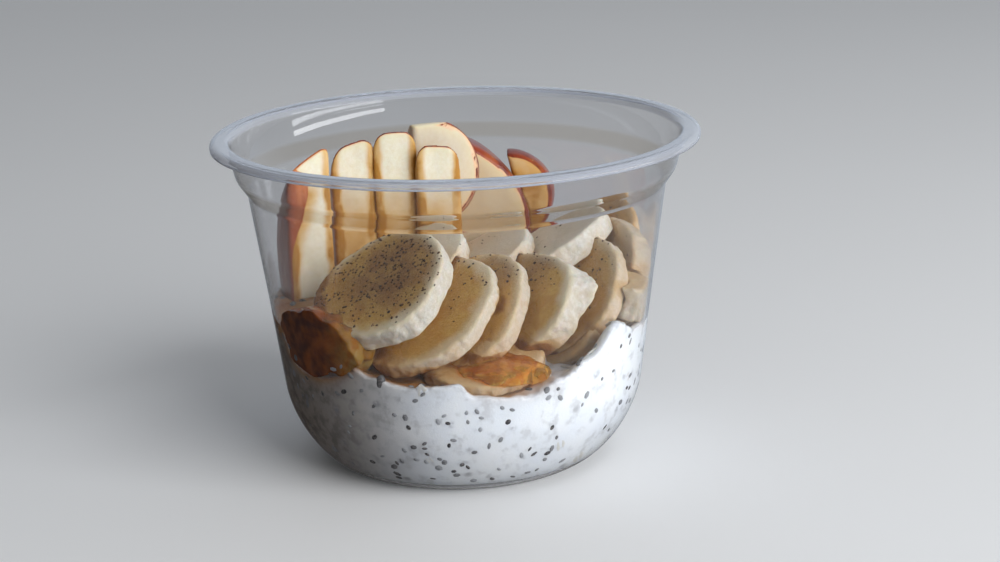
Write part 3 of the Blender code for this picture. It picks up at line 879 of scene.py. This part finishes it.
def distance_to(points, others):
    """Distance to the nearest of some pieces."""
    nearest = np.full(len(points), FAR)
    for other in others:
        nearest = np.minimum(nearest, other.at(points))
    return nearest


def closeness(points, others, reach):
    """1 where another piece touches, fading over reach."""
    return np.exp(-np.maximum(distance_to(points, others), 0) / reach)


def banana_stains(piece, vertices, others):
    """Where a banana slice is stained and painted with crevice shade, dusted with spice and pale (partly
    painted light), for each vertex.
    """
    look, points = piece.look, piece.world(vertices)
    share, angle, height = piece.parts(vertices)
    height = height / piece.half
    unit = np.stack([np.cos(angle) * share, np.sin(angle) * share, height], axis=1)
    start, full, strength = look["left"]
    # near other pieces: syrup stain, and painted shade in the crevices between slices
    stain = look["crevice"] * closeness(points, others, BANANA_CREVICE) + look["even"]
    stain += look["low"] * smooth_step(*BANANA_LOW, points[:, 2])
    stain += strength * smooth_step(start, full, points[:, 0])
    amount, middle, spread = look["dust"]
    away = np.linalg.norm(unit[:, :2] - middle, axis=1) / spread
    dust = amount * smooth_step(1.5, 0.3, away) * smooth_step(1.0, 0.86, share)
    dust *= smooth_step(0.2, 0.8, height)
    return dict(place=unit, stain=np.clip(stain, 0, 1), dust=dust, pale=look["pale"])


def apple_stains(piece, vertices, others):
    """How deep under its skin an apple slice is and where it is stained and painted with shade, for each
    vertex.
    """
    look, points = piece.look, piece.world(vertices)
    depth = piece.skin_depth(vertices)
    blush = 0.0
    low = look["low"] * smooth_step(*APPLE_LOW, points[:, 2])
    if piece.name == CHEEK:
        over = points[:, 2] - STEP_BOTTOM[1]
        to_flesh = points[:, 0] - CHEEK_END + CHEEK_SLANT * np.abs(over)
        to_flesh += CHEEK_FADE * np.maximum(over - 2, 0) + lumps(points * [0, 0, 1], (0.7, 3.0, 1))
        depth = np.minimum(depth, to_flesh)
        blush = 0.8 * smooth_step(-6.0, -0.5, to_flesh) * (0.45 + 0.55 * smooth_step(-8.0, -1.0, over))
        low = np.maximum(low, 0.85 * smooth_step(4.5, 0.8, to_flesh) * smooth_step(1.0, -3.0, over))
    # Amber on a broad side or along the narrow side's edges: browning, and painted shade where the gaps
    # between slices fall dark
    flank = look["broad"]
    if flank is None:
        flank = 0.9 * smooth_step(0.52, 0.76, piece.side(vertices) + lumps(vertices, (0.06, 3.0, 2)))
    stain = np.clip(0.35 * closeness(points, others, APPLE_CREVICE) + low + flank, 0, 1)
    return dict(place=vertices / piece.ball, depth=depth, blush=blush, dull=look["dull"], stain=stain)


def make_fruit():
    """Banana and apple slices, each cut where it meets the ones before it."""
    kinds = {Slice: ("banana", BANANA_STEP, banana_material(), banana_stains),
             Slab: ("apple", APPLE_STEP, apple_material(), apple_stains)}
    pieces = [Slice(name, **shape) for name, shape in BANANA.items()]
    pieces += [Slab(name, **shape) for name, shape in APPLE.items()]
    for index, piece in enumerate(pieces):
        fruit, step, material, stored = kinds[type(piece)]
        vertices, faces = sampled(piece, step, FRUIT_FROM_WALL, pieces[:index], TOUCH)
        item = new_object(piece.name.replace("_", "_slice_"), vertices, faces, piece.matrix())
        others = [other for other in pieces if other is not piece]
        finish_piece(item, material, fruit, piece.name, **stored(piece, vertices, others))
    return pieces


def edge_level(angle):
    """Height of the mix at the wall, by an even blend between the stated places."""
    stated = sorted((place % 360, height) for place, height in MIX_EDGE)
    stated = [(stated[-1][0] - 360, stated[-1][1])] + stated + [(stated[0][0] + 360, stated[0][1])]
    places, heights = np.array(stated, dtype=float).T
    degrees = np.degrees(angle) % 360
    after = np.clip(np.searchsorted(places, degrees), 1, len(places) - 1)
    share = smooth_step(places[after - 1], places[after], degrees)
    return heights[after - 1] + share * (heights[after] - heights[after - 1])


def mix_level(x, y):
    """Height of the mix's top."""
    turn = smooth_step(*MIX_TURN, x)
    start, stop = (low + turn * (high - low) for low, high in zip(MIX_RISE, MIX_RISE_RIGHT))
    level = MIX_FRONT + smooth_step(start, stop, y) * (MIX_BACK - MIX_FRONT)
    level = level + lumps(np.stack([x, y, 0 * x], axis=1), (0.9, 6.0, 0))
    blend = smooth_step(MIX_EDGE_BAND, 1.0, np.hypot(x, y) / MIX_REACH)
    return level + blend * (edge_level(np.arctan2(y, x)) - level)


def make_mix(fruit, pools):
    """Yogurt body up to the wall and round the fruit that sinks into it."""
    low = np.array([-MIX_HALF, -MIX_HALF, MIX_FLOOR - 1.5])
    points, counts = grid(low, np.array([MIX_HALF, MIX_HALF, MIX_BLOCK_TOP]), MIX_STEP)
    wall = in_pot(points, -INTO_WALL)
    top = points[:, 2] - mix_level(points[:, 0], points[:, 1])
    near_top = np.abs(top) < 4
    bumps = points[near_top]
    top[near_top] += lumps(bumps * [1, 1, 0.6], (0.45, 2.6, 1)) + lumps(bumps, (0.22, 1.2, 2))
    field = np.maximum(np.maximum(top * 0.9, wall), MIX_FLOOR - points[:, 2])
    close = field < 1.5
    for piece in fruit + pools:
        gap = MIX_GAP if piece in fruit else 0.0
        field[close] = smooth_max(field[close], gap - piece.at(points[close]), MIX_BLEND)
    field[close] = np.maximum(field[close], wall[close])
    vertices, faces = largest_island(*net(field.reshape(counts), low, MIX_STEP))
    item = new_object("oat_mix_body", vertices, faces)
    x, y, z = vertices.T
    on_top = smooth_step(0.3, 1.6, -in_pot(vertices, -INTO_WALL)) * (z > 20)
    juice = np.maximum(smooth_step(-8.0, -20.0, y) * smooth_step(24.0, 6.0, x),
                       smooth_step(-20.0, -30.0, x) * smooth_step(14.0, 2.0, y))
    juice = on_top * juice * smooth_step(9.0, 3.0, distance_to(vertices, fruit))
    left_edge = smooth_step(33.0, 36.5, z) * smooth_step(-24.0, -31.0, x) * smooth_step(16.0, 6.0, y)
    # next to the fruit: syrup stain and painted contact shade
    crevice = 0.35 * closeness(vertices, fruit, 1.0)
    stain = np.maximum.reduce([closeness(vertices, pools, 1.2), crevice, juice, left_edge])
    # Painted shade: darker brown to the left, and a little darker lower down
    soaked = 0.95 * smooth_step(-2.0, -38.0, x + 0.35 * (y + 40)) + 0.12 * smooth_step(34.0, 8.0, z)
    return finish_piece(item, yogurt_material(), "oat_mix", "oats",
                        stain=np.clip(stain, 0, 1), soaked=np.clip(soaked, 0, 1))


def make_syrup(fruit):
    material = syrup_material()
    pools = [Pool(name, **shape) for name, shape in SYRUP.items()]
    for pool in pools:
        vertices, faces = sampled(pool, SYRUP_STEP, -INTO_WALL, fruit, SYRUP_GAP)
        item = new_object(pool.name.replace("_", "_pool_"), vertices, faces, pool.matrix())
        deep = smooth_step(*DEEP_AND_SHADED[pool.name], pool.world(vertices)[:, 0])
        finish_piece(item, material, "syrup", pool.name, deep=deep)
    return pools


def grain_mesh():
    """Unit ball of twenty triangles."""
    golden = (1 + math.sqrt(5)) / 2
    points = []
    for a, b in itertools.product((-1, 1), (-golden, golden)):
        points += [(0, a, b), (a, b, 0), (b, 0, a)]
    points = np.array(points, dtype=float)
    points /= np.linalg.norm(points, axis=1)[:, None]
    faces = []
    for i, j, k in itertools.combinations(range(12), 3):
        sides = [np.linalg.norm(points[p] - points[q]) for p, q in ((i, j), (j, k), (i, k))]
        if max(sides) < 1.2:
            normal = np.cross(points[j] - points[i], points[k] - points[i])
            faces.append((i, j, k) if normal @ points[i] > 0 else (i, k, j))
    return points, np.array(faces)


def split_once(points, faces):
    """Each triangle into four, on the unit ball."""
    points = [tuple(point) for point in points]
    middle = {}

    def between(a, b):
        key = (min(a, b), max(a, b))
        if key not in middle:
            point = np.array(points[a]) + np.array(points[b])
            points.append(tuple(point / np.linalg.norm(point)))
            middle[key] = len(points) - 1
        return middle[key]

    result = []
    for a, b, c in faces:
        ab, bc, ca = between(a, b), between(b, c), between(c, a)
        result += [(a, ab, ca), (b, bc, ab), (c, ca, bc), (ab, bc, ca)]
    return np.array(points), np.array(result)


def scatter(name, shape, placements, material, slot):
    """One joined mesh of copies. Each placement is (place, 3 axes as columns, veil)."""
    points, faces = shape
    vertices, polygons, veils = [], [], []
    for place, axes, veil in placements:
        polygons.append(faces + len(points) * len(vertices))
        vertices.append(points @ np.asarray(axes).T + place)
        veils += [veil] * len(points)
    item = new_object(name, np.concatenate(vertices), np.concatenate(polygons))
    finish_piece(item, material, slot, veil=veils)


def frame_on(normal, spin):
    """Two directions along a surface, turned by spin, and its normal, as columns."""
    normal = np.asarray(normal) / np.linalg.norm(normal)
    side = np.cross(normal, [0.0, 0.0, 1.0])
    if np.linalg.norm(side) < 0.1:
        side = np.cross(normal, [1.0, 0.0, 0.0])
    side /= np.linalg.norm(side)
    up = np.cross(normal, side)
    first = math.cos(spin) * side + math.sin(spin) * up
    return np.stack([first, np.cross(normal, first), normal], axis=1)


def wall_places(rng, count, apart, sparse=0.0):
    """Places and normals over the mix's outer face, no two too near, in looser or denser crowds."""
    places = []
    tries = 0
    while len(places) < count and tries < count * 60:
        tries += 1
        angle = rng.uniform(-math.pi, math.pi)
        height = rng.uniform(4.5, float(edge_level(np.array([angle]))[0]) - 0.8)
        point = np.array([math.cos(angle), math.sin(angle), 0.0]) * wall_radius(height)
        point[2] = height
        crowd = float(noise(point[None, :], CROWD_SIZE, 3)[0])
        if crowd < rng.uniform(-1.0, 0.45) * sparse:
            continue
        if all(np.linalg.norm(point - other) > apart for other, _ in places):
            rise = wall_radius(height + 0.5) - wall_radius(height - 0.5)
            places.append((point, np.array([math.cos(angle), math.sin(angle), -rise])))
    return places


def top_places(rng, count, fruit, tree):
    """Places and normals on the open top of the mix."""
    places = []
    tries = 0
    while len(places) < count and tries < count * 80:
        tries += 1
        angle, radius = rng.uniform(-math.pi, math.pi), 44.5 * math.sqrt(rng.uniform(0, 1))
        start = Vector((radius * math.cos(angle), radius * math.sin(angle), 60.0)) * MM
        hit, normal, _, _ = tree.ray_cast(start, Vector((0, 0, -1)))
        if hit is None or normal.z < 0.35:
            continue
        point = np.array(hit) / MM
        if min(float(piece.at(point[None, :])[0]) for piece in fruit) > 0.8:
            places.append((point, np.array(normal)))
    return places


def make_seeds(fruit, tree):
    rng = random.Random(11)
    placements = []
    for point, normal in wall_places(rng, WALL_SEEDS, SEEDS_APART, SEEDS_CROWDED):
        veil = rng.choice(WALL_VEILS)
        axes = frame_on(normal, rng.uniform(0, math.tau))
        size = rng.choice(SEED_SIZES) * rng.uniform(0.9, 1.1)
        depth = 0.5 * size - 0.17 - INTO_WALL
        stretch = [rng.uniform(0.8, 1.15) * size, rng.uniform(0.5, 0.8) * size, 0.5 * size]
        placements.append((point - axes[:, 2] * depth, axes * stretch, veil))
    for point, normal in top_places(rng, TOP_SEEDS, fruit, tree):
        axes = frame_on(normal, rng.uniform(0, math.tau))
        size = rng.uniform(0.8, 1.1)
        veil = rng.choice(TOP_VEILS)
        place = point + axes[:, 2] * rng.uniform(-0.2, 0.15)
        placements.append((place, axes * [size, 0.7 * size, 0.55 * size], veil))
    scatter("chia_seeds", split_once(*grain_mesh()), placements, seed_material(), "oat_mix")


def flake_shape(rng):
    """Soaked oat flake: a thin wavy oval with a crease along its middle."""
    ball, faces = split_once(*split_once(*grain_mesh()))
    points = ball * FLAKE_RADII
    angle = np.arctan2(ball[:, 1], ball[:, 0])
    wobble = 1 + 0.08 * np.sin(3 * angle + rng.uniform(0, 6)) + 0.05 * np.sin(7 * angle + rng.uniform(0, 6))
    points[:, :2] *= wobble[:, None]
    points[:, 2] -= 0.16 * np.exp(-(points[:, 1] / 0.35) ** 2) * np.sign(ball[:, 2] + 1e-6)
    return points, faces


def make_flakes(fruit, tree):
    rng = random.Random(5)
    shape = flake_shape(rng)
    placements = []
    for point, normal in wall_places(rng, WALL_FLAKES, FLAKES_APART):
        if point[0] < FLAKES_FROM:
            continue
        axes = frame_on(normal, rng.uniform(0, math.tau))
        size = rng.uniform(0.6, 1.05)
        place = point - axes[:, 2] * (FLAKE_RADII[2] - 0.05 - INTO_WALL)
        placements.append((place, axes * [size, size, 1.0], rng.uniform(0.45, 0.85)))
    for point, normal in top_places(rng, TOP_FLAKES, fruit, tree):
        if point[0] < FLAKES_FROM:
            continue
        lean = np.array([rng.uniform(-0.3, 0.3), rng.uniform(-0.3, 0.3), 0])
        axes = frame_on(normal + lean, rng.uniform(0, math.tau))
        size = rng.uniform(0.7, 1.1)
        placements.append((point - axes[:, 2] * 0.05, axes * [size, size, 1.0], rng.uniform(0.2, 0.7)))
    scatter("oat_flakes", shape, placements, flake_material(), "oat_mix")


def make_specks(fruit):
    """Ground spice on the banana faces that lie open."""
    rng = random.Random(3)
    placements = []
    for piece in fruit:
        if isinstance(piece, Slab):
            continue
        count = piece.look["specks"]
        _, middle, spread = piece.look["dust"]
        others = [other for other in fruit if other is not piece]
        done = tries = 0
        while done < count and tries < count * 40:
            tries += 1
            angle, share = rng.uniform(0, math.tau), math.sqrt(rng.uniform(0, 1)) * 0.97
            unit = np.array([share * math.cos(angle), share * math.sin(angle)])
            if rng.random() < 0.8 * np.linalg.norm(unit - middle) / spread - 0.4:
                continue
            rays = np.zeros((60, 3))
            rays[:, :2] = unit * piece.radii
            rays[:, 2] = np.linspace(piece.half + 1.2, piece.half - 1.2, 60)
            below = np.nonzero(piece.field(rays, detail=True) < 0)[0]
            if not len(below):
                continue
            point = piece.world(rays[below[:1]])
            above = point + piece.turn[:, 2] * 0.8
            if min(float(other.at(above)[0]) for other in others) < 0.3 or in_pot(above, 0.5)[0] > 0:
                continue
            size = rng.uniform(*SPECK_SIZES) * (1.0 if rng.random() < 0.85 else 1.3)
            axes = frame_on(piece.turn[:, 2], rng.uniform(0, math.tau))
            stretch = [size * rng.uniform(0.8, 1.4), size * rng.uniform(0.6, 1.0), size * 0.6]
            placements.append((point[0], axes * stretch, 0.0))
            done += 1
    scatter("spice_specks", grain_mesh(), placements, spice_material(), "banana")


# Room

def direction(azimuth, elevation):
    """Unit vector by its angles in radians, the azimuth from X towards Y."""
    level = math.cos(elevation)
    return Vector((math.cos(azimuth) * level, math.sin(azimuth) * level, math.sin(elevation)))


def make_camera():
    forward = direction(math.pi / 2 - CAMERA_YAW, -CAMERA_PITCH)
    right = forward.cross(Vector((0, 0, 1))).normalized()
    up = right.cross(forward)
    rolled_right = right * math.cos(CAMERA_ROLL) + up * math.sin(CAMERA_ROLL)
    rolled_up = up * math.cos(CAMERA_ROLL) - right * math.sin(CAMERA_ROLL)
    matrix = Matrix((rolled_right, rolled_up, -forward)).transposed().to_4x4()
    matrix.translation = CAMERA_PLACE
    data = bpy.data.cameras.new("photo_camera")
    data.sensor_width = SENSOR
    data.lens = CAMERA_FOCAL / PICTURE_WIDTH * SENSOR
    data.clip_start = 0.01
    camera = bpy.data.objects.new("photo_camera", data)
    camera.matrix_world = matrix
    bpy.context.scene.collection.objects.link(camera)
    bpy.context.scene.camera = camera


def add_light(name, azimuth, elevation, distance, size, radiance):
    """A soft panel that faces the pot, placed by its direction from the pot's middle."""
    data = bpy.data.lights.new(name, "AREA")
    data.shape = "RECTANGLE"
    data.size, data.size_y = size
    data.energy = radiance * math.pi * size[0] * size[1]
    data.color = LIGHT_TINT
    away = direction(math.radians(azimuth), math.radians(elevation))
    item = bpy.data.objects.new(name, data)
    item.location = Vector((0.0, 0.0, POT_HEIGHT * MM / 2)) + away * distance
    item.rotation_euler = away.to_track_quat("Z", "Y").to_euler()
    bpy.context.scene.collection.objects.link(item)
    return item


def make_world():
    """Soft light from above, dim at the left, and a pale wall behind for the lip to reflect."""
    room = bpy.data.worlds.new("room")
    room.use_nodes = True
    nodes = Nodes(room.node_tree)
    towards = nodes.add("TexCoord", output="Generated")
    colour = nodes.blend(nodes.dot(towards, ROOM_RIGHT), -0.4, 1.0, (0.045, 0.040, 0.037), (0.26, 0.27, 0.28))
    colour = nodes.blend(nodes.dot(towards, (0.0, 0.0, 1.0)), 0.1, 0.9, colour, (0.27, 0.27, 0.27))
    colour = nodes.blend(nodes.dot(towards, WALL_BEHIND), 0.60, 0.95, colour, (0.52, 0.58, 0.66))
    nodes.put(room.node_tree.nodes["Background"].inputs["Color"], colour)
    bpy.context.scene.world = room


def make_room():
    corners = [(-1, -1, 0), (1, -1, 0), (1, 1, 0), (-1, 1, 0)]
    floor = new_object("floor", np.array(corners) * FLOOR_HALF, [[0, 1, 2, 3]], smooth=False)
    floor.data.materials.append(floor_material())
    floor.visible_glossy = False       # the plastic would mirror it as a grey veil over the food
    key = add_light("soft_key", **KEY)
    key.visible_glossy = key.visible_transmission = False   # the food would be lit by it twice
    for number, pane in enumerate(PANES):
        add_light(f"window_pane_{number}", **pane)
    make_world()
    bpy.context.scene.view_settings.view_transform = "Standard"


make_camera()
make_room()
make_pot()
fruit_pieces = make_fruit()
mix_item = make_mix(fruit_pieces, make_syrup(fruit_pieces))
bpy.context.view_layer.update()
mix_tree = BVHTree.FromObject(mix_item, bpy.context.evaluated_depsgraph_get())
make_seeds(fruit_pieces, mix_tree)
make_flakes(fruit_pieces, mix_tree)
make_specks(fruit_pieces)

bpy.context.view_layer.update()
